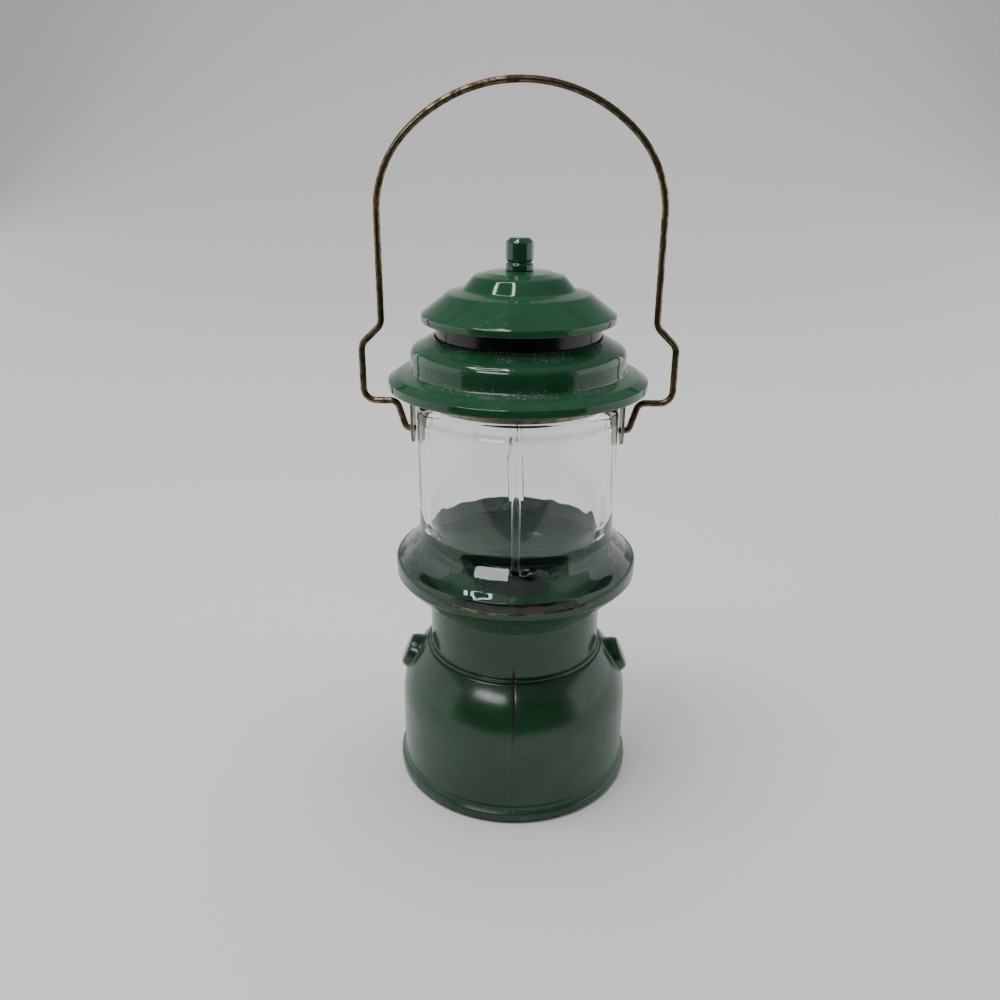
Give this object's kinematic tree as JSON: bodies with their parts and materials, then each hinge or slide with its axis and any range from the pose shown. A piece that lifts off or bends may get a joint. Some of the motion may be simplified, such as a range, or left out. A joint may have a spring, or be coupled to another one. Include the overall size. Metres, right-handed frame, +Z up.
{
  "type": "lantern-shaped decanter",
  "caption": "Small glass bottle shaped like a camping lantern, green enamelled base, screw cap like a ventilator hood, wire carrying bail that swings.",
  "frame": {"origin": "middle of the foot, on the surface the bottle stands on", "axes": "+Z up the bottle's axis, X along the bail's pivot axis through both ears, -Y the front"},
  "size_m": [0.0764, 0.0628, 0.1735],
  "materials": {
    "glass": "clear moulded glass with faint waves",
    "enamel": "sprayed green gloss enamel",
    "ring_metal": "dull stamped metal",
    "wire_metal": "tarnished wire with brown spots",
    "core_plastic": "black gloss moulding",
    "cap_plastic": "dark green gloss moulding",
    "liner": "pulpy white sealing disc"
  },
  "bodies": {
    "bottle": {"glass_bottle": "glass", "neck_thread": "glass", "green_enamel": "enamel", "bail_ring": "ring_metal"},
    "bail": {"bail_wire": "wire_metal"},
    "liner": {"cap_liner": "liner"},
    "cap": {"cap_core": "core_plastic", "cap_thread": "core_plastic", "cap_drum": "cap_plastic", "cap_hood": "cap_plastic", "cap_knob": "cap_plastic"}
  },
  "joints": [
    {"name": "bail_swing", "type": "hinge", "parent": "bottle", "child": "bail", "pos_m": [0, 0, 0.095], "axis": [1, 0, 0], "range_deg": [-155, 155]},
    {"name": "cap_lift", "type": "slide", "parent": "bottle", "child": "liner", "axis": [0, 0, 1], "range_m": [0, 0.0054]},
    {"name": "cap_turn", "type": "hinge", "parent": "liner", "child": "cap", "pos_m": [0, 0, 0.117], "axis": [0, 0, 1], "range_deg": [0, 450]}
  ],
  "couplings": [
    {"joint": "cap_lift", "follows": "cap_turn", "m_per_rad": 0.00066845}
  ]
}
